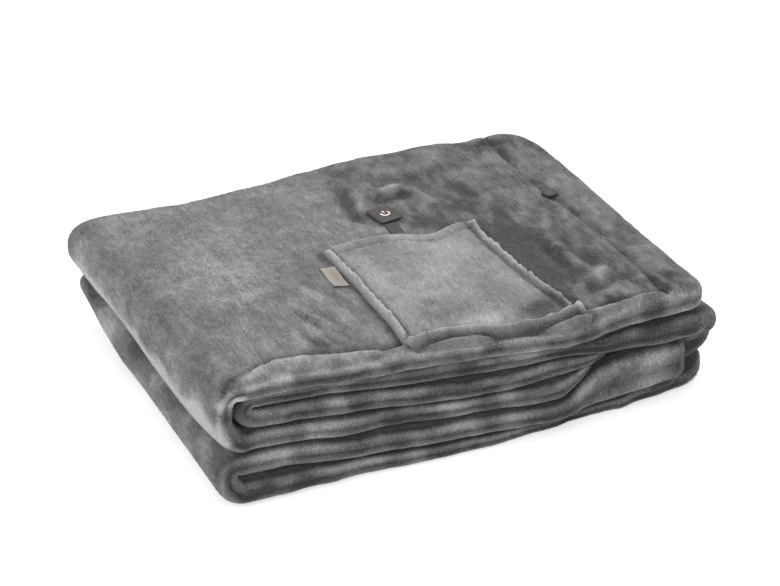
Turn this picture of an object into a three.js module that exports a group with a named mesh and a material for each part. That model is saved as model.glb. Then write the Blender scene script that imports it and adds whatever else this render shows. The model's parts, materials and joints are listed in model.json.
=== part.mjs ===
// A folded electric heated blanket, with its hand pocket, touch control, tab, snap and label.
// Millimetres. X runs along the front edge, left to right, Y from the front to the back, Z up.
// The blanket is one thick plush sheet laid back and forth in six layers, numbered from the top.
import * as THREE from "three";

// ---- driving dimensions ----
const LAYER_GAP = 2.8; // air between one layer and the next
const RIM_DEPTH = 12; // the most that a layer's rounded edge reaches in from its front or back
const RIM_PROBE = 10; // its half thickness there is read this far behind the front edge
const FRONT_NEAR = -192; // the front heights hold up to this Y
const FRONT_FAR = -152; // and the resting heights hold from this Y on
const FOLD_CORNER = 4; // how far a fold's corner draws in, seen from above
const BACK_SETTLE = 0.12; // how much lower the stack lies at its back left, as a share
// How far each layer's top is bent up at the stack's back left corner: 7 is the floor's side.
const BACK_LIFT = { 1: 0, 2: 4, 3: 8, 4: 12, 5: 17, 6: 22, 7: 38 };
const HEM = { side: 167, front: 17, depth: 1.8, width: 4 }; // seams: X, distance from the front

// The hand pocket: X of its sides at the open edge and at the bottom, Y of the open edge's ends.
const POCKET = { left: { open: -73, bottom: -75 }, right: { open: 71, bottom: 94 }, y: -15 };
const POCKET_SAG = { x: 24, width: 26, depth: 12 }; // of its open edge
const POCKET_CORNER = { reach: 14, draw: 7 }; // its open edge falls back towards both sides
const POCKET_STEPS = 6; // between the front edge and the open edge
const POCKET_RIM_SHARES = [0.25, 0.5, 0.75, 1]; // of the blanket's rim, where it wraps over that
const POCKET_CLEAR = { left: 15, right: 10 }; // of the blanket's stations from its sides
const POCKET_THICK = 4.2;
const POCKET_ROLL = 2.2; // how far the rolled side seams stand above the pocket
const POCKET_ROLL_WIDTH = 7;
const CLEARANCE = 0.7; // between what lies on the blanket and its curved top
const BUTT_GAP = 0.4; // between two trims that lie edge to edge

const CONTROL = { x: 5, y: 23, width: 23, length: 29, thick: 2.6, turn: 7, corner: 3 };
const TAB = { x: 4.3, y: -6, width: 11, length: 28, thick: 1.6, turn: 7 };
const SNAP = { x: 164, y: 8, diameter: 15, height: 3.4 };
// Its section, as shares of its radius and its height.
const SNAP_PROFILE = [[0, 0], [0.86, 0], [1, 0.3], [0.96, 0.62], [0.72, 0.92], [0.4, 1], [0, 1]];
const SNAP_SIDES = 28;
const LABEL = { x: -84.5, y: -66, width: 14, length: 38, thick: 1.2, turn: -5 };

// Heights of the six layers' top faces at stations along X: t1 is the uppermost layer.
// Away from the front edge:
const RESTING = [
  { x: -225, t1: 115, t2: 97, t3: 78.5, t4: 59.5, t5: 40, t6: 20 },
  { x: -120, t1: 116, t2: 97, t3: 77.5, t4: 58, t5: 38, t6: 17.5 },
  { x: 0, t1: 110.5, t2: 92, t3: 73.5, t4: 55, t5: 36, t6: 16.5 },
  { x: 90, t1: 107, t2: 89, t3: 71, t4: 53, t5: 35, t6: 16 },
  { x: 148, t1: 106, t2: 87, t3: 69, t4: 52, t5: 36, t6: 16 },
  { x: 186, t1: 104.5, t2: 82, t3: 58, t4: 54, t5: 49, t6: 16 },
  { x: 230, t1: 103, t2: 80, t3: 57, t4: 53, t5: 48, t6: 16 },
];
// and at the front edge, where the layers sag in the middle and layer 5 swells on the right:
const AT_FRONT = [
  { x: -225, t1: 114, t2: 98, t3: 83, t4: 61, t5: 42, t6: 21 },
  { x: -180, t1: 117, t2: 98.5, t3: 82, t4: 61, t5: 42, t6: 21 },
  { x: -126, t1: 114, t2: 95.5, t3: 78, t4: 57.5, t5: 38, t6: 17 },
  { x: -72, t1: 111, t2: 91, t3: 73.5, t4: 53.5, t5: 34.5, t6: 14.5 },
  { x: 0, t1: 106, t2: 85, t3: 67, t4: 48.5, t5: 30.5, t6: 11.5 },
  { x: 63, t1: 104, t2: 82, t3: 66, t4: 48, t5: 28, t6: 9.5 },
  { x: 80, t1: 104.5, t2: 82.5, t3: 65, t4: 48.5, t5: 33, t6: 9.5 },
  { x: 95, t1: 105, t2: 83, t3: 64, t4: 52, t5: 42, t6: 9.5 },
  { x: 108, t1: 105.5, t2: 83, t3: 62.5, t4: 56.5, t5: 50, t6: 10 },
  { x: 120, t1: 106, t2: 83, t3: 61.5, t4: 57, t5: 54, t6: 11 },
  { x: 160, t1: 107, t2: 82, t3: 57, t4: 56, t5: 55, t6: 14 },
  { x: 230, t1: 106, t2: 84, t3: 58, t4: 57, t5: 54, t6: 16 },
];
// Y of each layer's front edge, and of the back edge that they share.
const EDGES = [
  { x: -225, f1: -198, f2: -184, f3: -184, f4: -188, f5: -190, f6: -198, back: 158 },
  { x: -180, f1: -201, f2: -187, f3: -189, f4: -190, f5: -192, f6: -201, back: 156 },
  { x: -126, f1: -203, f2: -190, f3: -191, f4: -195, f5: -199, f6: -199, back: 155 },
  { x: -72, f1: -201, f2: -194, f3: -195, f4: -194, f5: -200, f6: -198, back: 156 },
  { x: 0, f1: -204, f2: -196, f3: -201, f4: -201, f5: -203, f6: -197, back: 159 },
  { x: 63, f1: -212, f2: -201, f3: -200, f4: -206, f5: -208, f6: -196, back: 154 },
  { x: 95, f1: -210, f2: -204, f3: -199, f4: -195, f5: -204, f6: -196, back: 150 },
  { x: 106, f1: -207, f2: -205, f3: -196, f4: -188, f5: -203, f6: -197, back: 149 },
  { x: 116, f1: -206, f2: -205, f3: -190, f4: -179, f5: -203, f6: -197, back: 148 },
  { x: 130, f1: -205, f2: -205, f3: -176, f4: -166, f5: -204, f6: -198, back: 147 },
  { x: 150, f1: -205, f2: -205, f3: -155, f4: -150, f5: -205, f6: -199, back: 146 },
  { x: 186, f1: -204, f2: -205, f3: -150, f4: -140, f5: -203, f6: -198, back: 146 },
  { x: 230, f1: -202, f2: -203, f3: -150, f4: -140, f5: -200, f6: -196, back: 147 },
];
// How far each layer's back edge lies from the shared one.
const BACK_OFFSET = { 1: 0, 2: -4, 3: -1, 4: -5, 5: -2, 6: -3 };
// Layer 5's front lip ends on the right, and the rest of the layer lies further back.
const LIP_END = { from: 187, to: 198, back: 23 };

// The sheet's way through the stack, from its free edge on top to its free edge at the bottom.
// A fold turns on side -1, left, or 1, right. pinch draws its crown in. upper and lower are
// powers of its section's two halves: under 1 is squarer, over 1 is sharper. atFront and atBack
// change its reach there. corner and backCorner are the radii of a free edge's corners.
const PATH = [
  { layer: 1, from: 211, to: -216, free: "start", corner: 20, backCorner: 58 },
  { fold: [1, 4], x: -216, reach: 24, side: -1, atFront: -7, upper: 0.6, lower: 1.3, steps: 8 },
  { layer: 4, from: -216, to: 138 },
  { fold: [4, 3], x: 138, reach: 10, side: 1, steps: 5 },
  { layer: 3, from: 138, to: -203 },
  { fold: [3, 2], x: -203, reach: 10.5, side: -1, steps: 5 },
  { layer: 2, from: -203, to: 196 },
  { fold: [2, 5], x: 196, reach: 22, side: 1, pinch: 0.35, steps: 9 },
  { layer: 5, from: 196, to: -221 },
  { fold: [5, 6], x: -221, reach: 10.5, side: -1, atBack: 8, steps: 6 },
  { layer: 6, from: -221, to: 232, free: "end", corner: 40, backCorner: 25 },
];
const PINCH_WIDTH = 0.5; // radians of the turn
const NORMAL_STEP = 0.05; // radians to both sides of a fold's point, for its normal
const FREE_RIM = 8; // how far the rounded free edges reach in
// Stations along X that every layer uses within its own reach, clear of its ends.
const STATIONS = [
  -180, -140, -100, -60, -20, 20, 55, 78, 92, 104, 115, 126, 145, 163, 167, 171, 187, 193, 200,
];
const STATION_CLEAR = { left: 4, right: 9 };
const RIM_SHARES = [0, 0.134, 0.5, 1]; // of the rim's depth: 30 degree steps round its section
const NEAR_EDGE = [13, 17, 21, 33, 47]; // stations behind the front rim
const NEAR_BACK = [30];
const MIDDLE_STEPS = 6; // between those

const COLOUR = { plush: 0x858585, pocket: 0x9c9c9c, control: 0x514b46, snap: 0x43423a, label: 0x9b8f75 };

// ---- small maths ----
const mix = (a, b, t) => a + (b - a) * t;

function ease(from, to, value) {
  const t = Math.min(1, Math.max(0, (value - from) / (to - from)));
  return t * t * (3 - 2 * t);
}

// A smooth curve through one column of a table, flat beyond its ends.
function along(rows, column, x) {
  const last = rows.length - 1;
  if (x <= rows[0].x) return rows[0][column];
  if (x >= rows[last].x) return rows[last][column];
  const i = rows.findIndex((row, k) => x < rows[k + 1].x);
  const slope = (k) => {
    const [a, b] = [rows[Math.max(k - 1, 0)], rows[Math.min(k + 1, last)]];
    return (b[column] - a[column]) / (b.x - a.x);
  };
  const width = rows[i + 1].x - rows[i].x;
  const t = (x - rows[i].x) / width;
  const bend = t * (1 - t) * width;
  const straight = mix(rows[i][column], rows[i + 1][column], t * t * (3 - 2 * t));
  return straight + bend * ((1 - t) * slope(i) - t * slope(i + 1));
}

// ---- the stack of layers ----
function topOf(layer, x, y) {
  if (layer > 6) return BACK_LIFT[7] * ease(30, 165, y) * (1 - ease(-240, -180, x)) - LAYER_GAP;
  const settle = 1 - BACK_SETTLE * ease(-100, 150, y) * (1 - ease(-150, 20, x));
  const inside = along(RESTING, "t" + layer, x) * settle;
  const lift = BACK_LIFT[layer] * ease(-60, 155, y) * (1 - ease(-225, -100, x));
  const resting = inside + lift;
  const top = mix(along(AT_FRONT, "t" + layer, x), resting, ease(FRONT_NEAR, FRONT_FAR, y));
  return layer === 1 ? top - hemSeam(x, y) : top;
}

// The stitched grooves behind the front hem and beside the wide right hem.
function hemSeam(x, y) {
  const groove = (distance) => Math.max(0, 1 - Math.abs(distance) / HEM.width);
  const front = along(EDGES, "f1", x) + HEM.front;
  return HEM.depth * Math.max(groove(x - HEM.side), groove(y - front));
}

const bottomOf = (layer, x, y) => topOf(layer + 1, x, y) + LAYER_GAP;
const middleOf = (layer, x, y) => (topOf(layer, x, y) + bottomOf(layer, x, y)) / 2;
const halfOf = (layer, x, y) => (topOf(layer, x, y) - bottomOf(layer, x, y)) / 2;

// X of a leg's free edge, or undefined where both its ends are folds.
function freeEdge(leg) {
  return leg.free && (leg.free === "start" ? leg.from : leg.to);
}

function cornerCut(x, end, radius) {
  const over = Math.min(Math.max(x - (end - radius), 0), radius);
  return radius - Math.sqrt(radius ** 2 - over ** 2);
}

// Y of a layer's front and back edges. leg is given where it may have a free edge.
function edgesOf(layer, x, leg = {}) {
  const lip = layer === 5 ? LIP_END.back * ease(LIP_END.from, LIP_END.to, x) : 0;
  const cut = (radius) => (leg.free ? cornerCut(x, freeEdge(leg), radius) : 0);
  return {
    front: along(EDGES, "f" + layer, x) + lip + cut(leg.corner),
    back: along(EDGES, "back", x) + BACK_OFFSET[layer] - cut(leg.backCorner),
  };
}

// Stations from the front edge to the back: how deep each lies, and its share of the thickness.
function depthStations(edges, rim) {
  const round = (share) => Math.sqrt(1 - (1 - share) ** 2);
  const stations = RIM_SHARES.map((s) => ({ y: edges.front + s * rim, full: round(s) }));
  for (const d of NEAR_EDGE) stations.push({ y: edges.front + d, full: 1 });
  const from = edges.front + NEAR_EDGE[NEAR_EDGE.length - 1];
  const to = edges.back - NEAR_BACK[0];
  for (let k = 1; k < MIDDLE_STEPS; k++) {
    stations.push({ y: mix(from, to, k / MIDDLE_STEPS), full: 1 });
  }
  for (const d of NEAR_BACK) stations.push({ y: edges.back - d, full: 1 });
  for (const s of [...RIM_SHARES].reverse()) {
    stations.push({ y: edges.back - s * rim, full: round(s) });
  }
  return stations;
}

// A column of the sheet: for each depth station its centre and its half thickness vector.
function runColumn(leg, x) {
  const edges = edgesOf(leg.layer, x, leg);
  const rim = Math.min(RIM_DEPTH, halfOf(leg.layer, x, edges.front + RIM_PROBE));
  const share = leg.free ? Math.min(1, (freeEdge(leg) - x) / FREE_RIM) : 1;
  const atFree = Math.sqrt(1 - (1 - share) ** 2);
  const inner = leg.to < leg.from ? -1 : 1; // the side that the next fold closes on
  return depthStations(edges, rim).map(({ y, full }) => ({
    centre: new THREE.Vector3(x, y, middleOf(leg.layer, x, y)),
    half: new THREE.Vector3(0, 0, inner * full * atFree * halfOf(leg.layer, x, y)),
  }));
}

function foldPoint(fold, angle, y) {
  const [from, to] = fold.fold.map((layer) => middleOf(layer, fold.x, y));
  const { reach, side, pinch = 0, atFront = 0, atBack = 0, upper = 1, lower = 1 } = fold;
  const crown = 1 - pinch * Math.exp(-(((angle - Math.PI / 2) / PINCH_WIDTH) ** 2));
  const reachHere = reach + atFront * ease(-110, -200, y) + atBack * ease(0, 150, y);
  const [out, up] = [Math.sin(angle), Math.cos(angle)];
  const x = fold.x + side * reachHere * crown * out ** (up > 0 ? upper : lower);
  return { x, z: (from + to) / 2 + ((from - to) / 2) * (up > 0 ? up ** upper : up) };
}

function foldColumn(fold, angle) {
  const [a, b] = fold.fold;
  const turned = (1 - Math.cos(angle)) / 2;
  const [ea, eb] = [edgesOf(a, fold.x), edgesOf(b, fold.x)];
  const draw = FOLD_CORNER * Math.sin(angle);
  const edges = {
    front: mix(ea.front, eb.front, turned) + draw,
    back: mix(ea.back, eb.back, turned) - draw,
  };
  const half = (y) => mix(halfOf(a, fold.x, y), halfOf(b, fold.x, y), turned);
  const rim = Math.min(RIM_DEPTH, half(edges.front + RIM_PROBE));
  return depthStations(edges, rim).map(({ y, full }) => {
    const at = foldPoint(fold, angle, y);
    const before = foldPoint(fold, angle - NORMAL_STEP, y);
    const after = foldPoint(fold, angle + NORMAL_STEP, y);
    const normal = new THREE.Vector3(before.z - after.z, 0, after.x - before.x).normalize();
    return {
      centre: new THREE.Vector3(at.x, y, at.z),
      half: normal.multiplyScalar(full * half(y)),
    };
  });
}

function legColumns(leg) {
  if (leg.fold) {
    const columns = [];
    for (let k = 1; k < leg.steps; k++) columns.push(foldColumn(leg, (Math.PI * k) / leg.steps));
    return columns;
  }
  const [low, high] = [Math.min(leg.from, leg.to), Math.max(leg.from, leg.to)];
  const inReach = (x) => x > low + STATION_CLEAR.left && x < high - STATION_CLEAR.right;
  const xs = [low, ...STATIONS.filter(inReach), high];
  if (leg.free) xs.splice(-1, 1, ...[...RIM_SHARES].reverse().map((s) => high - s * FREE_RIM));
  return (leg.to < leg.from ? xs.reverse() : xs).map((x) => runColumn(leg, x));
}

// ---- meshes ----
function solidFrom(positions, faces) {
  const geometry = new THREE.BufferGeometry();
  geometry.setAttribute("position", new THREE.Float32BufferAttribute(positions.flat(), 3));
  geometry.setIndex(faces.flat());
  geometry.computeVertexNormals();
  return geometry;
}

// A closed slab between two grids of points of the same size: upper faces outwards.
function slab(upper, lower) {
  const rows = upper.length;
  const columns = upper[0].length;
  const positions = [...upper.flat(), ...lower.flat()].map((p) => [p.x, p.y, p.z]);
  const at = (i, j, side) => side * rows * columns + i * columns + j;
  const faces = [];
  const quad = (a, b, c, d) => faces.push([a, b, c], [a, c, d]);
  for (let i = 0; i + 1 < rows; i++) {
    for (let j = 0; j + 1 < columns; j++) {
      quad(at(i, j, 0), at(i + 1, j, 0), at(i + 1, j + 1, 0), at(i, j + 1, 0));
      quad(at(i, j, 1), at(i, j + 1, 1), at(i + 1, j + 1, 1), at(i + 1, j, 1));
    }
  }
  const wall = (i, j, m, n) => {
    const closed = upper[i][j].equals(lower[i][j]) && upper[m][n].equals(lower[m][n]);
    if (!closed) quad(at(i, j, 0), at(m, n, 0), at(m, n, 1), at(i, j, 1));
  };
  for (let i = 0; i + 1 < rows; i++) {
    wall(i + 1, 0, i, 0);
    wall(i, columns - 1, i + 1, columns - 1);
  }
  for (let j = 0; j + 1 < columns; j++) {
    wall(0, j, 0, j + 1);
    wall(rows - 1, j + 1, rows - 1, j);
  }
  return solidFrom(positions, faces);
}

function piece(name, geometry, colour, roughness = 0.95, metalness = 0) {
  const material = new THREE.MeshStandardMaterial({ color: colour, roughness, metalness });
  const mesh = new THREE.Mesh(geometry, material);
  mesh.name = name;
  return mesh;
}

// ---- the blanket ----
const columns = PATH.flatMap(legColumns);
const outer = columns.map((column) => column.map((p) => p.centre.clone().sub(p.half)));
const inner = columns.map((column) => column.map((p) => p.centre.clone().add(p.half)));
const blanket = piece("blanket", slab(outer.reverse(), inner.reverse()), COLOUR.plush);

// ---- what lies on its top ----
// Every triangle that layer 1's top could have, with its quads cut along either diagonal.
function topTriangles() {
  const grid = legColumns(PATH[0]).map((c) => c.map((p) => p.centre.clone().sub(p.half)));
  const triangles = [];
  for (let i = 0; i + 1 < grid.length; i++) {
    for (let j = 0; j + 1 < grid[0].length; j++) {
      const [a, b, c, d] = [grid[i][j], grid[i + 1][j], grid[i + 1][j + 1], grid[i][j + 1]];
      triangles.push([a, b, c], [a, c, d], [a, b, d], [b, c, d]);
    }
  }
  return triangles;
}
const topFaces = topTriangles();

// The height of the blanket's faceted top at a point.
function topAt(x, y) {
  let height = -Infinity;
  const spot = new THREE.Vector3(x, y, 0);
  const weights = new THREE.Vector3();
  for (const [a, b, c] of topFaces) {
    const flat = [a, b, c].map((p) => new THREE.Vector3(p.x, p.y, 0));
    if (!THREE.Triangle.getBarycoord(spot, ...flat, weights)) continue;
    if (Math.min(weights.x, weights.y, weights.z) < -1e-6) continue;
    height = Math.max(height, weights.x * a.z + weights.y * b.z + weights.z * c.z);
  }
  return height;
}

// A thin piece laid on the top, from a grid of points with their X, Y and thickness.
function laid(grid) {
  const face = (raise) =>
    grid.map((row) =>
      row.map((p) => new THREE.Vector3(p.x, p.y, topAt(p.x, p.y) + CLEARANCE + raise(p))),
    );
  return slab(
    face((p) => p.thick),
    face(() => 0),
  );
}

// The places of a turned rectangle's grid points.
function rectangle(trim, across = 2, lengthways = 5) {
  const angle = (trim.turn * Math.PI) / 180;
  const [cos, sin] = [Math.cos(angle), Math.sin(angle)];
  return Array.from({ length: across + 1 }, (_, i) =>
    Array.from({ length: lengthways + 1 }, (_, j) => {
      const a = (i / across - 0.5) * trim.width;
      const b = (j / lengthways - 0.5) * trim.length;
      return { x: trim.x + a * cos - b * sin, y: trim.y + a * sin + b * cos, thick: trim.thick };
    }),
  );
}

// The hand pocket: a panel with rolled side seams, open at the back, whose bottom reaches over
// the rounded front edge. v runs from 0 at its bottom to 1 at its open edge.
function pocket() {
  const lowest = POCKET.left.open + POCKET_CLEAR.left;
  const highest = POCKET.right.open - POCKET_CLEAR.right;
  const acrossAt = (v) => {
    const left = mix(POCKET.left.bottom, POCKET.left.open, v);
    const right = POCKET.right.open + (POCKET.right.bottom - POCKET.right.open) * (1 - v) ** 3;
    const inside = STATIONS.filter((x) => x > lowest && x < highest);
    const half = (inside[inside.length - 1] + right - POCKET_ROLL_WIDTH) / 2;
    const rolls = [right - POCKET_ROLL_WIDTH, right - POCKET_ROLL_WIDTH / 2, right];
    return [left, left + POCKET_ROLL_WIDTH / 2, left + POCKET_ROLL_WIDTH, ...inside, half, ...rolls];
  };
  const openEdge = (x) => {
    const sag = Math.exp(-(((x - POCKET_SAG.x) / POCKET_SAG.width) ** 2));
    const side = Math.min(x - POCKET.left.open, POCKET.right.open - x);
    const corner = 1 - ease(0, POCKET_CORNER.reach, side);
    return POCKET.y - POCKET_SAG.depth * sag - POCKET_CORNER.draw * corner;
  };
  const count = POCKET_RIM_SHARES.length + NEAR_EDGE.length + POCKET_STEPS + 1;
  const columnsOf = Array.from({ length: count }, (_, j) => acrossAt(j / (count - 1)));
  return columnsOf[0].map((_, i) =>
    columnsOf.map((xs, j) => {
      const x = xs[i];
      const edges = edgesOf(1, x);
      const rim = Math.min(RIM_DEPTH, halfOf(1, x, edges.front + RIM_PROBE));
      const low = POCKET_RIM_SHARES.map((share) => edges.front + share * rim);
      const near = NEAR_EDGE.map((d) => edges.front + d);
      const from = near[near.length - 1];
      const ys = [...low, ...near];
      for (let k = 1; k <= POCKET_STEPS + 1; k++) {
        ys.push(mix(from, openEdge(x), k / (POCKET_STEPS + 1)));
      }
      const seam = Math.min(x - xs[0], xs[xs.length - 1] - x);
      const roll = POCKET_ROLL * (1 - ease(0, POCKET_ROLL_WIDTH, seam));
      return { x, y: ys[j], thick: POCKET_THICK + roll };
    }),
  );
}

function control() {
  const shape = new THREE.Shape();
  const [w, l, r] = [CONTROL.width / 2, CONTROL.length / 2, CONTROL.corner];
  shape.moveTo(w, l - r);
  shape.absarc(w - r, l - r, r, 0, Math.PI / 2);
  shape.absarc(r - w, l - r, r, Math.PI / 2, Math.PI);
  shape.absarc(r - w, r - l, r, Math.PI, 1.5 * Math.PI);
  shape.absarc(w - r, r - l, r, 1.5 * Math.PI, 2 * Math.PI);
  const depth = CONTROL.thick;
  return new THREE.ExtrudeGeometry(shape, { depth, bevelEnabled: false, curveSegments: 4 });
}

// The highest point of the top under a turned rectangle, so that a flat piece clears it.
function seatOf(trim) {
  return Math.max(...rectangle(trim, 6, 6).flat().map((p) => topAt(p.x, p.y)));
}

function snapCap() {
  const [r, h] = [SNAP.diameter / 2, SNAP.height];
  const points = SNAP_PROFILE.map(([out, up]) => new THREE.Vector2(r * out, h * up));
  return new THREE.LatheGeometry(points, SNAP_SIDES).rotateX(Math.PI / 2);
}

const trims = [
  piece("hand_pocket", laid(pocket()), COLOUR.pocket),
  piece("control_pad", control(), COLOUR.control, 0.6),
  piece("control_tab", laid(rectangle(TAB)), COLOUR.control, 0.8),
  piece("snap_cap", snapCap(), COLOUR.snap, 0.45, 0.6),
  piece("side_label", laid(rectangle(LABEL)), COLOUR.label, 0.8),
];
const [, controlPad, , cap] = trims;
controlPad.position.set(CONTROL.x, CONTROL.y, seatOf(CONTROL) + BUTT_GAP);
controlPad.rotation.z = (CONTROL.turn * Math.PI) / 180;
cap.position.set(SNAP.x, SNAP.y, topAt(SNAP.x, SNAP.y) + CLEARANCE);

// ---- the whole part, its origin under the middle of its box ----
const part = new THREE.Group();
part.add(blanket, ...trims);
const box = new THREE.Box3().setFromObject(part, true);
part.position.set(-(box.min.x + box.max.x) / 2, -(box.min.y + box.max.y) / 2, -box.min.z);

export default part;
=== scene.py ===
"""The looks of a folded electric heated blanket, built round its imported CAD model.

Every cloth piece is laid out in millimetres, in the CAD source's own layout: X along the front
edge, Y to the back, Z up. to_frame() moves it to the CAD's frame, in metres.
"""

import itertools
import json
import math
from types import SimpleNamespace as Values

import bpy
import numpy as np
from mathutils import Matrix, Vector
from mathutils.bvhtree import BVHTree

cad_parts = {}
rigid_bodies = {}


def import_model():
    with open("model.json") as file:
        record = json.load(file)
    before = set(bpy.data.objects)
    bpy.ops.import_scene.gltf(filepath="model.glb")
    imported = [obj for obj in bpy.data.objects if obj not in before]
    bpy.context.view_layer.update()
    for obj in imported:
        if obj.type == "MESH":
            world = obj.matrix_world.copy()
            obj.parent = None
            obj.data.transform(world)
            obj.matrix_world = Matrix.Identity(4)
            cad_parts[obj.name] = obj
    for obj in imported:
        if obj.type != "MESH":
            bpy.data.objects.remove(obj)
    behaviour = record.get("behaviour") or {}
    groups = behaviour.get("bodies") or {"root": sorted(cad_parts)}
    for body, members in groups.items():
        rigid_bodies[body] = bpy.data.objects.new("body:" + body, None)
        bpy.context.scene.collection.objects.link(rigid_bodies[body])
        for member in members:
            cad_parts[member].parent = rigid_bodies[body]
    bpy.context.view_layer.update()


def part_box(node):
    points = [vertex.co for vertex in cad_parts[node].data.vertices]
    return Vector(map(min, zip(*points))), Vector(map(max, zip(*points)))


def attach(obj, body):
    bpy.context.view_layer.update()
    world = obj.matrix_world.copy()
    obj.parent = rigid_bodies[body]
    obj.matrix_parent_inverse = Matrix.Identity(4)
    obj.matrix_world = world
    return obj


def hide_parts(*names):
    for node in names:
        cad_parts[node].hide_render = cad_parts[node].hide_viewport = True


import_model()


# ---- small maths ----
def mix(a, b, t):
    return a + (b - a) * t


def ease(low, high, value):
    t = np.clip((value - low) / (high - low), 0, 1)
    return t * t * (3 - 2 * t)


def bump(distance, width):
    """1 at no distance, falling softly to 0."""
    return np.exp(-((distance / width) ** 2))


def rounded(share):
    """A quarter round: from 0 up to 1, as share goes from 0 to 1."""
    return np.sqrt(1 - (1 - np.clip(share, 0, 1)) ** 2)


def xyz(x, y, z):
    """Points of three coordinates, which may be arrays or plain numbers."""
    return np.stack(np.broadcast_arrays(x, y, z), -1)


def circle(count):
    return np.linspace(0, 2 * math.pi, count, endpoint=False)


def table(names, rows):
    """A dictionary of named columns."""
    return dict(zip(names.split(), np.array(rows, float).T))


def along(rows, column, x):
    """A smooth curve through one column of a table, flat beyond its ends."""
    xs, values = rows["x"], rows[column]
    x = np.clip(x, xs[0], xs[-1])
    i = np.clip(np.searchsorted(xs, x, side="right") - 1, 0, len(xs) - 2)
    before = np.maximum(np.arange(len(xs)) - 1, 0)
    after = np.minimum(np.arange(len(xs)) + 1, len(xs) - 1)
    slope = (values[after] - values[before]) / (xs[after] - xs[before])
    width = xs[i + 1] - xs[i]
    t = (x - xs[i]) / width
    straight = mix(values[i], values[i + 1], t * t * (3 - 2 * t))
    return straight + t * (1 - t) * width * ((1 - t) * slope[i] - t * slope[i + 1])


WORD = 0xFFFFFFFF
HASH = 73856093, 19349663, 83492791, 2654435761, 2246822519, 3266489917


def noise(points, size, seed):
    """Smooth noise from -1 to 1 at points (..., 3), with features of that size in each axis."""
    p = np.asarray(points, float) / size
    cell = np.floor(p).astype(np.int64)
    part = p - cell
    part = part * part * (3 - 2 * part)
    total = np.zeros(p.shape[:-1])
    for corner in itertools.product((0, 1), repeat=3):
        c = cell + corner
        h = seed * HASH[3] ^ c[..., 0] * HASH[0] ^ c[..., 1] * HASH[1] ^ c[..., 2] * HASH[2]
        h = (h & WORD) * HASH[4] & WORD
        h = (h ^ h >> 15) * HASH[5] & WORD
        weight = np.prod(np.where(corner, part, 1 - part), axis=-1)
        total += weight * ((h ^ h >> 16) / 2**31 - 1)
    return total


def flat_noise(x, y, size, seed):
    """The same over the top, where size may differ between X and Y."""
    size_x, size_y = size if isinstance(size, tuple) else (size, size)
    return noise(xyz(x / size_x, y / size_y, 0.5), 1, seed)


def rough(x, y, *rows):
    """The sum of several noises over the top, each by its strength, size and seed."""
    return sum(strength * flat_noise(x, y, size, seed) for strength, size, seed in rows)


# ---- the stack of layers, as in the CAD source ----
LAYER_GAP = 1.4  # from each layer's bottom to the next one's top
RIM_DEPTH = 12  # how far a layer's round edge reaches in, at most
RIM_PROBE = 10  # where its thickness is taken for that
FRONT_NEAR, FRONT_FAR = -192, -152  # between these, AT_FRONT gives way to RESTING
FOLD_CORNER = 4  # how far a fold's ends draw in
BACK_SETTLE = 0.16  # the share of its height that the back right loses
BACK_LIFT = {1: 0, 2: 4, 3: 8, 4: 12, 5: 17, 6: 22, 7: 38}
PINCH_WIDTH = 0.5  # of a fold's crown, in radians
FREE_RIM = 8  # how far the round of a free edge reaches in
NORMAL_STEP = 0.05  # radians
RESTING = table("x t1 t2 t3 t4 t5 t6", [
    [-225, 115, 97, 78.5, 59.5, 40, 20], [-120, 116, 97, 77.5, 58, 38, 17.5],
    [0, 110.5, 92, 73.5, 55, 36, 16.5], [90, 107, 89, 71, 53, 35, 16],
    [148, 106, 87, 69, 52, 36, 16], [186, 104.5, 82, 58, 54, 49, 16],
    [230, 103, 80, 57, 53, 48, 16],
])
AT_FRONT = table("x t1 t2 t3 t4 t5 t6", [
    [-225, 114, 98, 83, 61, 42, 21], [-180, 117, 98.5, 82, 61, 42, 21],
    [-126, 114, 95.5, 78, 57.5, 38, 17], [-72, 111, 91, 73.5, 53.5, 34.5, 14.5],
    [0, 106, 85, 67, 48.5, 30.5, 11.5], [63, 104, 82, 66, 48, 28, 9.5],
    [80, 104.5, 82.5, 65, 48.5, 33, 9.5], [95, 105, 83, 64, 52, 42, 9.5],
    [108, 105.5, 83, 62.5, 56.5, 50, 10], [120, 106, 83, 61.5, 57, 54, 11],
    [160, 107, 82, 57, 56, 55, 14], [230, 106, 84, 58, 57, 54, 16],
])
EDGES = table("x f1 f2 f3 f4 f5 f6 back", [
    [-225, -198, -184, -184, -188, -190, -198, 158],
    [-180, -201, -187, -189, -190, -192, -201, 156],
    [-126, -203, -190, -191, -195, -199, -199, 154],
    [-72, -201, -194, -195, -194, -202, -202, 150], [0, -204, -196, -201, -201, -206, -204, 150],
    [63, -212, -201, -200, -206, -209, -201, 150], [95, -210, -204, -199, -195, -204, -196, 150],
    [106, -207, -205, -196, -188, -203, -197, 149], [116, -206, -205, -190, -179, -203, -197, 148],
    [130, -205, -205, -176, -166, -204, -198, 147], [150, -205, -205, -155, -150, -205, -195, 146],
    [186, -204, -205, -150, -140, -203, -191, 146], [230, -202, -203, -150, -140, -200, -187, 147],
])
BACK_OFFSET = {1: 0, 2: -4, 3: -1, 4: -5, 5: -2, 6: -3}
LIP_END = Values(start=187, end=198, back=23)

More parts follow.
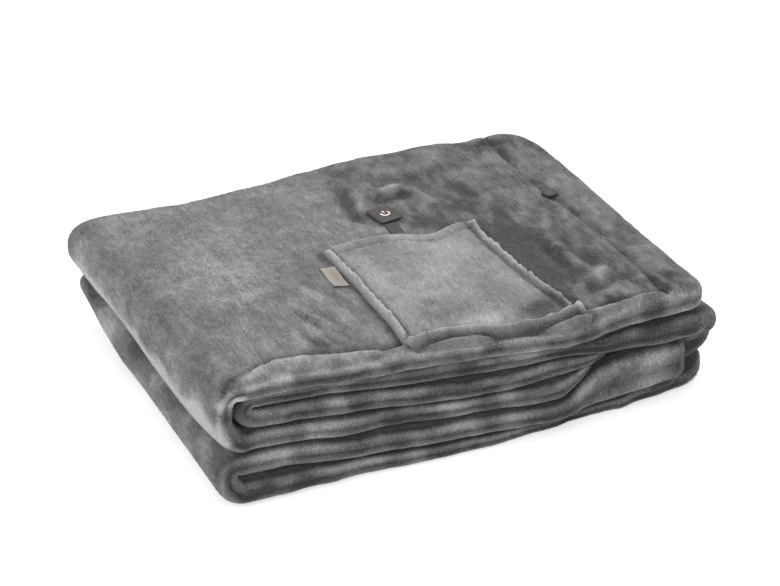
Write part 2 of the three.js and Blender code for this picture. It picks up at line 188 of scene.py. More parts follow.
# The sheet's way through the stack: legs, and the folds that turn from one to the next. count
# is how many columns each is drawn with.
PATH = [
    {"layer": 1, "from": 209, "to": -216, "count": 176,
     "free": "start", "corner": 20, "back_corner": 58},
    {"fold": (1, 4), "x": -216, "reach": 24, "side": -1, "count": 44,
     "at_front": -7, "at_back": 8, "upper": 0.6, "lower": 1.3},
    {"layer": 4, "from": -216, "to": 138, "count": 52},
    {"fold": (4, 3), "x": 138, "reach": 10, "side": 1, "count": 11},
    {"layer": 3, "from": 138, "to": -203, "count": 52},
    {"fold": (3, 2), "x": -203, "reach": 10.5, "side": -1, "count": 16},
    {"layer": 2, "from": -203, "to": 196, "count": 66},
    {"fold": (2, 5), "x": 196, "reach": 22, "side": 1, "pinch": 0.35, "count": 30},
    {"layer": 5, "from": 196, "to": -221, "count": 66},
    {"fold": (5, 6), "x": -221, "reach": 10.5, "side": -1, "at_back": 8, "count": 20},
    {"layer": 6, "from": -221, "to": 232, "count": 72,
     "free": "end", "corner": 40, "back_corner": 25},
]

RIM_STEPS = 8
QUARTER = np.linspace(0, math.pi / 2, RIM_STEPS + 1)
PAST_RIM = 3  # from the round of a free edge to the first even column
NEAR_EDGE = np.linspace(14.5, 50, 13)
NEAR_BACK = np.array([26, 20, 15])
MIDDLE_STEPS = 48
EDGE_WAVES = ((1.7, (34, 10), 5), (1.1, (13, 10), 6))  # how a front edge strays, in and out
PLY_GROOVE = Values(depth=3.2, width=0.32)  # between the plies at a layer's edge: mm and radians


def top_of(layer, x, y):
    if layer > 6:
        return BACK_LIFT[7] * ease(30, 165, y) * (1 - ease(-240, -180, x)) - LAYER_GAP
    settle = 1 - BACK_SETTLE * ease(-100, 150, y) * (1 - ease(-150, 20, x))
    inside = along(RESTING, f"t{layer}", x) * settle
    inside = inside + BACK_LIFT[layer] * ease(-60, 155, y) * (1 - ease(-225, -100, x))
    return mix(along(AT_FRONT, f"t{layer}", x), inside, ease(FRONT_NEAR, FRONT_FAR, y))


def bottom_of(layer, x, y):
    return top_of(layer + 1, x, y) + LAYER_GAP


def middle_of(layer, x, y):
    return (top_of(layer, x, y) + bottom_of(layer, x, y)) / 2


def half_of(layer, x, y):
    return (top_of(layer, x, y) - bottom_of(layer, x, y)) / 2


def edge_wave(layer, x):
    """How far a layer's front edge strays at x."""
    return rough(x, 40 * layer, *EDGE_WAVES)


def corner_cut(x, end, radius):
    """How far a round corner at end draws the edge in at x."""
    over = np.clip(x - (end - radius), 0, radius)
    return radius - np.sqrt(radius**2 - over**2)


def free_edge(leg):
    return leg["from"] if leg["free"] == "start" else leg["to"]


def edges_of(layer, x, leg=None):
    """Y of a layer's front and back edges at x."""
    front = along(EDGES, f"f{layer}", x) + edge_wave(layer, x)
    back = along(EDGES, "back", x) + BACK_OFFSET[layer] + edge_wave(layer + 7, x)
    if layer == 5:
        front = front + LIP_END.back * ease(LIP_END.start, LIP_END.end, x)
    if leg and "free" in leg:
        front = front + corner_cut(x, free_edge(leg), leg["corner"])
        back = back - corner_cut(x, free_edge(leg), leg["back_corner"])
    return front, back


def depth_stations(front, back, rim, groove):
    """Y of the stations from the front edge to the back, and their shares of the thickness."""
    front, back, rim, groove = (np.asarray(a)[..., None] for a in (front, back, rim, groove))
    inset = groove * bump(QUARTER, PLY_GROOVE.width)
    low = front + rim * (1 - np.cos(QUARTER)) + inset
    near = front + NEAR_EDGE
    start, end = front + NEAR_EDGE[-1], back - NEAR_BACK[0]
    middle = mix(start, end, np.arange(1, MIDDLE_STEPS) / MIDDLE_STEPS)
    high = back - rim * (1 - np.cos(QUARTER[::-1])) - inset[..., ::-1]
    y = np.concatenate([low, near, middle, back - NEAR_BACK, high], -1)
    full = np.ones(y.shape[-1])
    full[: RIM_STEPS + 1] = np.sin(QUARTER)
    full[-RIM_STEPS - 1 :] = np.sin(QUARTER[::-1])
    return y, full


def groove_at(x, seed):
    """How deep the groove between the plies is at x."""
    return PLY_GROOVE.depth * (0.7 + 0.3 * flat_noise(x, 0, (25, 10), seed))


def rim_of(layer, x, front):
    """How far the round of a layer's front edge reaches in."""
    return np.minimum(RIM_DEPTH, half_of(layer, x, front + RIM_PROBE))


def run_columns(leg):
    """The outer and inner faces of one leg, each (columns, stations, 3)."""
    x = leg_stations(leg)
    layer = leg["layer"]
    front, back = edges_of(layer, x, leg)
    y, full = depth_stations(front, back, rim_of(layer, x, front), groove_at(x, layer))
    at_free = rounded((free_edge(leg) - x)[:, None] / FREE_RIM) if "free" in leg else 1
    x = x[:, None]
    middle = middle_of(layer, x, y)
    half = full * at_free * half_of(layer, x, y)
    inner_side = -1 if leg["to"] < leg["from"] else 1
    outer, inner = (xyz(x, y, middle + side * half) for side in (-inner_side, inner_side))
    upper = outer if inner_side < 0 else inner
    if layer == 1:
        upper[..., 2] += relief(x, y) * full * at_free
    return outer, inner


def leg_stations(leg):
    """X of a leg's columns: even, but close round a free edge."""
    ends, count = (leg["from"], leg["to"]), leg["count"]
    if "free" not in leg:
        return np.linspace(*ends, count)
    free, fixed = ends if leg["free"] == "start" else ends[::-1]
    body = np.linspace(free - FREE_RIM - PAST_RIM, fixed, count - RIM_STEPS - 1)
    x = np.concatenate([free - FREE_RIM * (1 - np.cos(QUARTER)), body])
    return x if leg["free"] == "start" else x[::-1]


def fold_line(fold, angle, y):
    """X and Z of a fold's middle surface."""
    first, last = (middle_of(layer, fold["x"], y) for layer in fold["fold"])
    crown = 1 - fold.get("pinch", 0) * bump(angle - math.pi / 2, PINCH_WIDTH)
    reach = fold["reach"] + fold.get("at_front", 0) * ease(-110, -200, y)
    reach = (reach + fold.get("at_back", 0) * ease(0, 150, y)) * crown
    out, up = np.sin(np.clip(angle, 0, math.pi)), np.cos(angle)
    upper, lower = fold.get("upper", 1), fold.get("lower", 1)
    x = fold["x"] + fold["side"] * reach * np.where(up > 0, out**upper, out**lower)
    up = np.where(up > 0, np.abs(up) ** upper, up)
    return x + 0 * y, (first + last) / 2 + (first - last) / 2 * up


def fold_columns(fold):
    first, last = fold["fold"]
    angle = np.linspace(0, math.pi, fold["count"] + 2)[1:-1]
    turned = (1 - np.cos(angle)) / 2
    at = np.full_like(angle, fold["x"])
    draw = FOLD_CORNER * np.sin(angle)
    (front_a, back_a), (front_b, back_b) = edges_of(first, at), edges_of(last, at)
    front = mix(front_a, front_b, turned) + draw
    back = mix(back_a, back_b, turned) - draw
    probe = front + RIM_PROBE
    half = mix(half_of(first, at, probe), half_of(last, at, probe), turned)
    groove = mix(groove_at(at, first), groove_at(at, last), turned)
    y, full = depth_stations(front, back, np.minimum(RIM_DEPTH, half), groove)
    angle, turned, at = angle[:, None], turned[:, None], at[:, None]
    x, z = fold_line(fold, angle, y)
    before, after = (fold_line(fold, angle + step, y) for step in (-NORMAL_STEP, NORMAL_STEP))
    normal = xyz(before[1] - after[1], 0, after[0] - before[0])
    normal /= np.linalg.norm(normal, axis=-1, keepdims=True)
    thick = full * mix(half_of(first, at, y), half_of(last, at, y), turned)
    centre, step = xyz(x, y, z), normal * thick[..., None]
    return centre - step, centre + step


# ---- the relief of the top ----
# Y of the seam behind the front hem.
FRONT_SEAM = table("x y", [
    [-242, -195], [-223, -182], [-202, -174], [-180, -168], [-153, -172], [-136, -177],
    [-113, -180], [-91, -186], [-73, -186], [-37, -180], [-13, -181], [11, -190], [44, -192],
    [77, -186], [94, -188], [104, -189], [157, -189], [169, -193], [230, -196],
])
# X of the seam beside the wide right hem, by Y. along() reads the key from the column "x".
SIDE_SEAM = table("x at", [
    [-200, 168], [-140, 170], [-60, 169], [-20, 167], [8, 163], [60, 161], [110, 162], [150, 164],
])
# Ridges and grooves: how far ahead of the seam, how wide and how high.
FRONT_HEM, FRONT_STITCHES = (8, 6, 3.2), (0, 3, -4.4)
SIDE_STITCHES, SIDE_HEM_RISE = (0, 1.9, -2.8), 0.8
CREASE_FACTOR = 1.2
CREASE_BANKS = Values(height=0.45, at=1.9)  # beside a crease, as shares of its depth and width
# Creases: from (x, y) to (x2, y2), how wide and deep. A negative depth is a ridge.
CREASES = table("x y x2 y2 width depth", [
    [-137, -104, -128, -136, 2.4, 1.5], [-128, -112, -118, -138, 3.2, -1],
    [-122, -112, -112, -134, 2, 0.9], [-146, -146, -138, -164, 2.8, 1.7],
    [-158, -150, -150, -172, 4, -0.9], [-130, -150, -122, -168, 3, 1.1],
    [-180, -68, -126, -56, 9, -0.9], [-108, -66, -92, -116, 6, 1.4],
    [-118, -60, -104, -98, 6, -0.9], [124, -74, 121, -112, 6, -1.6], [132, -84, 136, -122, 5, 1.8],
    [113, -84, 110, -118, 6, 1.6], [114, -152, 143, -136, 7, -2], [112, -165, 146, -152, 6, 1.8],
    [150, -150, 158, -182, 5, 1.6], [10, 63, 38, 70, 6, -1.8], [38, 70, 52, 58, 6, -1.8],
    [52, 58, 57, 34, 6, -1.5], [14, 52, 40, 56, 7, 1.6], [-9, 88, -20, 42, 7, 2],
    [-20, 40, -10, 16, 6, 1.6], [30, 92, 66, 84, 10, 1.6], [86, 60, 100, 30, 8, 1.5],
    [148, 128, 166, 118, 3.5, 2.4], [169, -166, 166, -190, 3, 1.8],
    [167, -192, 173, -208, 3.4, 1.8], [180, -157, 184, -189, 4, 1.4],
    [176, -206, 202, -200, 5, 1.5],
])
# Broad hollows and swells: centre, half sizes, turn in degrees and rise.
SWELLS = table("x y along across turn rise", [
    [5, 23, 24, 26, 0, -2], [94, -75, 20, 60, 0, -2.2], [188, 132, 24, 22, 0, 5],
    [142, 138, 18, 20, 0, -2.5], [164, 8, 9, 9, 0, -1.4], [-30, 142, 58, 34, 0, -6],
    [188, -170, 18, 26, 0, 1.8], [140, -60, 16, 50, 0, 1.5], [-40, 80, 40, 30, 20, 1.2],
    [-150, 0, 50, 70, 10, 1], [30, 60, 40, 14, -10, 1.5], [130, 60, 20, 40, 0, 1.5],
])


def ridge(distance, at, width, rise):
    """A ridge at that distance, or a groove where rise is negative."""
    return rise * bump(distance - at, width)


def creases(x, y):
    """The height that the creases add or take away."""
    total = np.zeros(np.broadcast(x, y).shape)
    for x1, y1, x2, y2, width, depth in zip(*CREASES.values()):
        run, rise = x2 - x1, y2 - y1
        length = math.hypot(run, rise)
        t = ((x - x1) * run + (y - y1) * rise) / length**2
        across = ((x - x1) * rise - (y - y1) * run) / length
        beyond = np.maximum(np.abs(t - 0.5) - 0.35, 0) * length
        bank = ridge(np.abs(across), CREASE_BANKS.at * width, width, CREASE_BANKS.height)
        trough = bump(across, width) - bank
        total -= CREASE_FACTOR * depth * trough * bump(beyond, 0.3 * length)
    return total


def patches(rows, x, y, sharpness=1):
    """The sum of a table's oval places, each by its centre, half sizes, turn and amount."""
    total = np.zeros(np.broadcast(x, y).shape)
    for px, py, long, across, turn, amount in zip(*rows.values()):
        c, s = math.cos(math.radians(turn)), math.sin(math.radians(turn))
        a = ((x - px) * c + (y - py) * s) / long
        b = ((y - py) * c - (x - px) * s) / across
        total += amount * np.exp(-((a * a + b * b) ** sharpness))
    return total


def seams(x, y):
    """The stitched valleys of both hems, with the swell of the hems past them."""
    ahead = along(FRONT_SEAM, "y", x) - y
    beside = x - along(SIDE_SEAM, "at", y)
    pucker = 1 + 0.35 * flat_noise(x, y, 7, 21)
    gathers = 1 + 0.5 * flat_noise(x, y, (8, 14), 22)
    broken = 0.8 + 0.5 * flat_noise(0, y, (1, 16), 23)
    front = ridge(ahead, *FRONT_HEM) * gathers + ridge(ahead, *FRONT_STITCHES) * pucker
    side = ridge(beside, *SIDE_STITCHES) * pucker * broken + SIDE_HEM_RISE * ease(1, 9, beside)
    return front * (1 - 0.7 * ease(-4, 10, beside)) + side * (1 - 0.6 * ease(-4, 8, ahead))


def relief(x, y):
    """How far layer 1's top stands above its plain height."""
    fade = ease(-216, -192, x)
    fine = rough(x, y, (0.5, 11, 31), (0.3, (5, 8), 32))
    return fade * (seams(x, y) + creases(x, y) + patches(SWELLS, x, y) + fine)


def top_height(x, y):
    """The height of layer 1's top, with its rim and its relief."""
    front, _ = edges_of(1, x)
    full = rounded((y - front) / rim_of(1, x, front))
    return middle_of(1, x, y) + full * (half_of(1, x, y) + relief(x, y))


# ---- how light the pile is: lighter or darker nap, and painted highlight and shade ----
NAP_PATCHES = table("x y along across turn amount", [
    [98, -85, 23, 70, -4, -0.46], [112, -138, 12, 26, 0, -0.22], [88, 34, 12, 30, -6, -0.16],
    [84, 90, 14, 16, 0, -0.14], [96, 62, 10, 14, 0, -0.12], [-8, 92, 9, 36, -8, -0.2],
    [16, 122, 18, 9, 10, -0.2], [30, 54, 26, 7, 8, -0.16], [-12, 30, 11, 10, 0, -0.22],
    [34, 16, 13, 16, 0, -0.16], [60, 70, 22, 16, 10, -0.08], [14, 64, 44, 30, 0, -0.07],
    [20, 76, 24, 7, 10, 0.16], [-30, 86, 9, 12, 0, 0.16], [-8, 50, 6, 7, 0, 0.16],
    [48, 36, 10, 10, 0, 0.1], [132, 40, 26, 44, 0, 0.07], [128, -30, 14, 34, 0, 0.09],
    [140, -62, 12, 30, 8, -0.08], [130, -148, 6, 24, -38, 0.22], [146, -175, 14, 9, 10, 0.16],
    [128, -180, 12, 7, 10, -0.16], [150, -120, 10, 24, 0, -0.1], [170, -182, 9, 14, 0, -0.2],
    [186, -171, 8, 14, 0, -0.24], [199, -150, 7, 14, 0, -0.14], [177, -97, 6, 18, 0, -0.12],
    [192, -62, 8, 12, 0, -0.08], [200, -110, 6, 20, 0, 0.07], [178, -28, 6, 14, 0, -0.08],
    [190, 60, 13, 70, 0, 0.1], [187, 26, 9, 15, 0, -0.12], [161, 84, 3, 44, 0, -0.16],
    [150, 122, 16, 8, 10, -0.16], [168, -24, 3, 40, 0, -0.16], [170, -130, 5, 40, 0, -0.1],
    [-236, -20, 10, 150, 0, -0.1], [-225, -188, 18, 12, 0, -0.22], [-205, 50, 14, 22, 20, -0.07],
    [-168, -10, 26, 54, 0, 0.05], [-80, 96, 22, 18, 10, -0.07], [-96, -26, 10, 26, 0, -0.12],
    [-141, -164, 10, 9, 0, -0.22], [-112, -170, 22, 6, 5, -0.1], [-55, 34, 18, 36, -10, 0.05],
    [-122, -66, 30, 8, 12, -0.06], [-190, -158, 26, 10, 0, -0.05],
])
RELIEF_PAINTED_LIGHT = 0.075  # painted highlight on a ridge and painted shade in a groove: how much lighter, by its height in mm
# The top's nap: smooth on the left, and on the right from X -50 or so darker, partly as painted
# shade, and more crushed. Each cloud of noise has its strength on the left and what the right adds
# to it.
TOP_NAP = Values(
    left=0.475, right=-0.285, broad=0.055, middling=(0.055, 0.125), small=(0.08, 0.1),
    streaks=0.07, patches=1.2, sharpness=1.5,
)
POCKET_SHADE = (1, 4, -0.4)  # painted shade beside the pocket: how far out, how wide and how dark
CRUSH = 2.4  # how hard noise is pressed towards its ends


def crushed(n):
    """Noise pressed towards its ends, as pile that lies one way or the other."""
    return np.tanh(CRUSH * n)


def pocket_shade(x, y):
    """Painted shade on the top beside the pocket's sides."""
    past = np.maximum(x - 74 - 20 * ease(-20, -200, y) ** 3, -75 - x)
    return ridge(past, *POCKET_SHADE) * (1 - ease(-22, -12, y))


def bent(x, y, seed):
    """A swaying shift of places on the top, so that no patch has a plain outline."""
    return rough(x, y, (8, 24, seed), (3, 9, seed + 2))


def nap_of_top(x, y):
    at = x + bent(x, y, 45), y + bent(x, y, 46)
    right = ease(-50, 60, x) * (1 - 0.55 * ease(162, 172, x))
    clouds = TOP_NAP.broad * crushed(flat_noise(*at, (34, 50), 42))
    for place, size, seed, (base, added) in (
            (at, (15, 24), 43, TOP_NAP.middling),
            ((x, y), (6, 9), 44, TOP_NAP.small)):
        clouds = clouds + (base + added * right) * crushed(flat_noise(*place, size, seed))
    streaks = TOP_NAP.streaks * flat_noise(x, y, (3, 22), 41)
    level = TOP_NAP.left + TOP_NAP.right * ease(-50, 70, x)
    lying = TOP_NAP.patches * patches(NAP_PATCHES, *at, TOP_NAP.sharpness)
    # lit is painted light: highlights on the ridges, shade in the grooves and beside the pocket.
    lit = RELIEF_PAINTED_LIGHT * (seams(x, y) + creases(x, y)) + pocket_shade(x, y)
    return level + lying + clouds + streaks + lit


# Lighter or darker places on the stack's left side, by Y and Z in the first two columns.
SIDE_PATCHES = table("x y along across turn amount", [
    [72, 46, 26, 26, 0, 0.22], [18, 40, 20, 16, 0, -0.16], [-30, 22, 30, 12, 0, -0.1],
    [-78, 28, 15, 18, 0, 0.14], [-132, 18, 24, 14, 0, -0.1], [122, 56, 16, 20, 0, -0.1],
])
SIDE_SEED = 71
SIDE_CLOUDS = ((38, 0.15), (17, 0.19))  # size and strength
SIDE_GRAIN = Values(size=7, strength=0.12)
RIGHTWARD_SHADE = 0.08  # painted shade: how much darker the layers' edges are towards the right, where less light falls


def nap_of_side(points, level):
    """The nap of a leg's or a fold's face, where it isn't the top, with painted shade towards the
    right.
    """
    x, y, z = np.moveaxis(points, -1, 0)
    total = level - RIGHTWARD_SHADE * ease(-20, 120, x)
    for k, (size, strength) in enumerate(SIDE_CLOUDS):
        total = total + strength * crushed(noise(points, size, SIDE_SEED + k))
    total = total + SIDE_GRAIN.strength * noise(points, SIDE_GRAIN.size, SIDE_SEED + 2)
    return total + patches(SIDE_PATCHES, y, z) * ease(-205, -222, x)


# ---- the pieces' meshes ----
cap_low, cap_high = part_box("snap_cap")
SNAP = Values(x=164, y=8, radius=7.5)
SHIFT = (cap_low + cap_high) / 2 * 1000 - Vector((SNAP.x, SNAP.y, 0))
SHIFT.z = 0
# The unevenness of the whole stack: strength, size and seed.
LIFT = ((1.3, 70, 61), (0.8, 30, 62), (0.45, 12, 64))
SWAY = 1.4, 60, 63


def warp(points):
    """A slow unevenness of the whole stack, which keeps its layers apart and its base flat."""
    sway, lift = (sum(strength * noise(points, size, seed) for strength, size, seed in rows)
                  for rows in ([SWAY], LIFT))
    moved = points.copy()
    moved[..., 1] += sway
    moved[..., 2] += lift * ease(2, 40, points[..., 2])
    return moved


def to_frame(points):
    return (warp(points) + np.array(SHIFT)) / 1000


def placed(name, data):
    """A new object in the scene."""
    thing = bpy.data.objects.new(name, data)
    bpy.context.scene.collection.objects.link(thing)
    return thing


def belongs(piece, node=None):
    """Attaches a piece to the root body, and hides the node of the CAD that it replaces."""
    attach(piece, "root")
    if node:
        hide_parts(node)


def mesh_object(name, points, faces, material, nap=None):
    mesh = bpy.data.meshes.new(name)
    mesh.from_pydata([tuple(p) for p in points], [], [tuple(f) for f in faces])
    mesh.update()
    mesh.materials.append(material)
    if nap is not None:
        attribute = mesh.attributes.new("nap", "FLOAT", "POINT")
        attribute.data.foreach_set("value", np.asarray(nap, np.float32).ravel())
    mesh.shade_smooth()
    return placed(name, mesh)


def closed_sheet(name, outer, inner, material, nap_outer, nap_inner):
    """A closed sheet between two grids of points that share their boundary."""
    rows, columns = outer.shape[:2]
    index = np.arange(rows * columns).reshape(rows, columns)
    under = index.copy()
    under[1:-1, 1:-1] = rows * columns + np.arange((rows - 2) * (columns - 2)).reshape(
        rows - 2, columns - 2)
    points = np.concatenate([outer.reshape(-1, 3), inner[1:-1, 1:-1].reshape(-1, 3)])
    nap = np.concatenate([nap_outer.ravel(), nap_inner[1:-1, 1:-1].ravel()])

    def quads(i):
        return np.stack([i[:-1, :-1], i[1:, :-1], i[1:, 1:], i[:-1, 1:]], -1).reshape(-1, 4)

    faces = np.concatenate([quads(index), quads(under)[:, ::-1]])
    a, b, c, d = (points[faces[:, k]] for k in range(4))
    if np.sum(a * np.cross(b - d, c)) < 0:  # six times its volume
        faces = faces[:, ::-1]
    return mesh_object(name, to_frame(points), faces, material, nap)


# ---- materials ----
PLUSH = (0.024, 0.125, 0.34)  # how light the pile is: lying dark, in between, lying light
POCKET_PLUSH = (0.04, 0.15, 0.33)
RUBBER = (0.024, 0.02, 0.017)
MOTTLE = (0.82, 1.16)  # the shares of its colour that a plain material runs between
GRAIN_ROUGHNESS = 0.6
WAVES_AT_SCALE_1 = 3.2  # a wave texture's repeats in a metre


class Look:
    """A material in the making: its shader, and the nodes that feed it."""

    def __init__(self, name, **sockets):
        self.material = bpy.data.materials.new(name)
        self.material.use_nodes = True
        self.tree = self.material.node_tree
        self.shader = self.tree.nodes["Principled BSDF"]
        self.feed(self.shader, (), sockets)

    def feed(self, node, values, named):
        """Fills a node's sockets, in order and by name. Names in lower case are settings."""
        sockets = list(zip(node.inputs, values))
        for name, value in named.items():
            if name.islower():
                setattr(node, name, value)
            else:
                sockets.append((node.inputs[name.replace("_", " ")], value))
        for socket, value in sockets:
            if isinstance(value, bpy.types.NodeSocket):
                self.tree.links.new(value, socket)
            else:
                socket.default_value = value
        return node

    def node(self, kind, *values, **named):
        return self.feed(self.tree.nodes.new(kind), values, named)

    def nap(self):
        return self.node("ShaderNodeAttribute", attribute_name="nap").outputs["Fac"]

    def where(self, **mapping):
        """Object coordinates, scaled or turned."""
        place = self.node("ShaderNodeTexCoord").outputs["Object"]
        return self.node("ShaderNodeMapping", Vector=place, **mapping).outputs["Vector"]

    def noise(self, scale, detail, stretch=(1, 1, 1)):
        return self.node(
            "ShaderNodeTexNoise", Scale=scale, Detail=detail, Roughness=GRAIN_ROUGHNESS,
            Vector=self.where(Scale=stretch)).outputs["Fac"]

    def weave(self, pitch, turn, distortion):
        """The height of a plain weave: two crossed waves of that pitch in metres."""
        waves = [self.node(
            "ShaderNodeTexWave", Scale=1 / pitch / WAVES_AT_SCALE_1, Distortion=distortion,
            Vector=self.where(Rotation=(0, 0, math.radians(angle + turn)))).outputs["Fac"]
            for angle in (0, 90)]
        return self.node("ShaderNodeMath", *waves, operation="MULTIPLY").outputs[0]

    def weighted(self, total, *terms):
        """total + the sum of (socket - 0.5) * weight."""
        for socket, weight in terms:
            added = self.node("ShaderNodeMath", socket, weight, total, operation="MULTIPLY_ADD")
            level = self.node("ShaderNodeMath", added.outputs[0], weight / 2, operation="SUBTRACT")
            total = level.outputs[0]
        return total

    def ramp(self, level, first, last, halfway=None):
        """A level as a colour, from the first to the last."""
        node = self.node("ShaderNodeValToRGB", Fac=level)
        stops = node.color_ramp.elements
        stops[0].color, stops[1].color = (*first, 1), (*last, 1)
        if halfway:
            stops.new(0.5).color = (*halfway, 1)
        return node.outputs["Color"]

    def paint(self, colour, height=None, strength=0.5, distance=0):
        """Gives the shader its colour and its relief, and returns the material."""
        sockets = {"Base_Color": colour}
        if height:
            relief_node = self.node(
                "ShaderNodeBump", Height=height, Strength=strength, Distance=distance)
            sockets["Normal"] = relief_node.outputs["Normal"]
        self.feed(self.shader, (), sockets)
        return self.material


def plush_material(name, dark, middle, light):
    """Short pile: its colour follows the nap attribute, which carries painted highlight and shade
    as well, with fine streaks and specks.
    """
    look = Look(
        name, Roughness=0.92, Sheen_Weight=0.35, Sheen_Roughness=0.45, Specular_IOR_Level=0.15)
    streak = look.noise(640, 3, (1, 0.14, 1))
    speck = look.noise(900, 2)
    cloud = look.noise(160, 4, (1, 0.6, 1))
    level = look.weighted(look.nap(), (streak, 0.6), (speck, 0.5), (cloud, 0.4))
    colour = look.ramp(level, *((grey,) * 3 for grey in (dark, light, middle)))
    return look.paint(colour, look.weighted(streak, (speck, 1), (cloud, 1.4)), 0.55, 0.0016)


def plain_material(name, colour, grain, depth, **sockets):
    """One colour, mottled a little, over a fine grain of that size in metres."""
    look = Look(name, **sockets)
    mottle = look.noise(1 / grain, 2)
    shades = [[share * c for c in colour] for share in MOTTLE]
    return look.paint(look.ramp(mottle, *shades), mottle, 0.5, depth)


def woven_material(name, dark, light, pitch, turn, depth, tint=None, **sockets):
    """Woven cloth. tint is a third colour, which the nap attribute brings in."""
    look = Look(name, **sockets)
    level = look.weighted(look.weave(pitch, turn, 0.6), (look.noise(700, 3), 0.5))
    colour = look.ramp(level, dark, light)
    if tint:
        blend = look.node(
            "ShaderNodeMix", data_type="RGBA", Factor=look.nap(), A=colour, B=(*tint, 1))
        colour = blend.outputs["Result"]
    return look.paint(colour, level, 0.7, depth)


def glow_material():
    """The pad's own brown, red where the symbol's light reaches, by the nap attribute."""
    look = Look("touch_glow", Roughness=0.45, Specular_IOR_Level=0.35)
    level = look.weighted(look.nap(), (look.noise(1400, 2), 0.2))
    return look.paint(look.ramp(level, RUBBER, (0.36, 0.024, 0.026)))


# ---- the blanket ----
# How light the pile lies on each layer's faces, and on the fold that starts from it.
FACE_LEVELS = {1: 0.44, 2: 0.35, 3: 0.36, 4: 0.4, 5: 0.39, 6: 0.24}
SHADED_LAYER, LAYER_SHADE = 2, 0.32  # the layer whose right part is painted darker as shade, and by how much
OPEN_SIDES = ((1,), (1, 4), (5, 6), (2, 5))  # the legs and folds with no painted shade on their outside
BIG_FOLD = (1, 4)
# The nap on the big fold, in radians round it: a bright strip with a ragged edge, partly nap and
# partly a painted highlight where the fold faces the light, and a dark turn of its top edge as at,
# width and amount. front is how much lighter its front end is.
STRIP = Values(
    start=1.46, full=1.78, fade=2.3, end=2.8, amount=0.85, ragged=0.16, turn=(0.6, 0.5, -0.08),
    front=0.32,
)
# Painted light round a face's front rim, in radians: painted shade in the groove between the plies
# at the very edge, then a painted highlight on the turn, brighter where the face looks up, then the
# painted shade of the layer over or under it.
RIM_GROOVE_SHADE = (0, 0.22, -0.26)
RIM_HIGHLIGHT = {True: (0.75, 0.3, 0.3), False: (0.75, 0.3, 0.04)}
RIM_SHADE = {True: 0.45, False: 0.6}


def rim_painted_light(shape, open_side, upper):
    """Painted shade and highlight round a face's front rim."""
    values = ridge(QUARTER, *RIM_GROOVE_SHADE) + ridge(QUARTER, *RIM_HIGHLIGHT[upper])
    if not open_side:
        values = values - RIM_SHADE[upper] * ease(0.95, 1.5, QUARTER)
    total = np.zeros(shape)
    total[:, : RIM_STEPS + 1] = values
    return total


def top_leg_nap(face, plain):
    """The nap of layer 1's upper face, and of the front rim that turns down from it."""
    x, y, _ = np.moveaxis(face, -1, 0)
    front, _ = edges_of(1, x[:, 0])
    # The front rim is painted darker towards the right, as shade, and a little lighter on the left.
    rim = plain + 0.04 * ease(60, 0, x) - 0.2 * ease(130, 190, x)
    return mix(rim, nap_of_top(x, y), ease(4, 14, y - front[:, None]))


def big_fold_nap(face, plain):
    """The nap of the big fold on the left, which starts as the top's own."""
    x, y, _ = np.moveaxis(face, -1, 0)
    angle = np.linspace(0, math.pi, len(x) + 2)[1:-1, None]
    ragged = angle + STRIP.ragged * flat_noise(y, 0, (22, 10), 73)
    strip = ease(STRIP.start, STRIP.full, ragged)
    strip = strip * (1 - ease(STRIP.fade, STRIP.end, ragged))
    ends = ease(-205, -170, y) * (1 - 0.5 * ease(100, 150, y))
    strength = STRIP.amount * (0.8 + 0.35 * flat_noise(y, 40, (38, 10), 74))
    turning = mix(nap_of_top(x, y), plain, ease(0.5, 1.3, angle))
    # The strip is partly a painted highlight.
    return turning + strength * strip * ends + ridge(angle, *STRIP.turn)


def naps_of(leg, faces):
    """The nap of a leg's or a fold's outer and inner faces, with painted shade and highlight round
    their rims.
    """
    layers = leg.get("fold") or (leg["layer"],)
    naps = []
    for face in faces:
        nap = nap_of_side(face, FACE_LEVELS[layers[0]])
        # Painted shade on that layer's right part.
        if SHADED_LAYER in layers:
            nap = nap - LAYER_SHADE * ease(30, 110, face[..., 0])
        if layers == BIG_FOLD:
            nap = nap + STRIP.front * ease(-184, -196, face[..., 1])
        naps.append(nap)
    if layers == (1,):
        naps[0] = top_leg_nap(faces[0], naps[0])
    if layers == BIG_FOLD:
        naps[0] = big_fold_nap(faces[0], naps[0])
    outer_up = "fold" in leg or leg["to"] < leg["from"]
    # Painted shade and highlight round both faces' rims.
    naps[0] = naps[0] + rim_painted_light(naps[0].shape, layers in OPEN_SIDES, outer_up)
    naps[1] = naps[1] + rim_painted_light(naps[1].shape, False, not outer_up)
    return naps


def blanket():
    """The plush sheet, one closed mesh."""
    faces = [run_columns(leg) if "layer" in leg else fold_columns(leg) for leg in PATH]
    naps = [naps_of(leg, pair) for leg, pair in zip(PATH, faces)]
    outer, inner, nap_outer, nap_inner = (
        np.concatenate(part) for part in (*zip(*faces), *zip(*naps)))
    plush = plush_material("plush", *PLUSH)
    piece = closed_sheet("blanket_plush", outer, inner, plush, nap_outer, nap_inner)
    belongs(piece, "blanket")
    return piece


# ---- the hand pocket ----
# X of its sides at the bottom and at the open edge, Y of the open edge and the length between.
POCKET = Values(
    left=(-75, -73), right=(94, 71), y=-15, length=190, gap=0.5, thick=3.6, thinnest=1.5,
)
POCKET_SAG = (24, 26, -12)  # of the open edge: X, width and depth
POCKET_CORNER = Values(reach=14, draw=7)  # of the open edge
POCKET_ROUND = Values(low=9, open=5)  # the radii of its corners on the right
POCKET_LOW = 0.25  # the share of the blanket's rim where its bottom ends
POCKET_GRID = (104, 128)
POCKET_EDGE = 2.4  # how far its rounded edge reaches in
SIDE_WAVE = 1.2
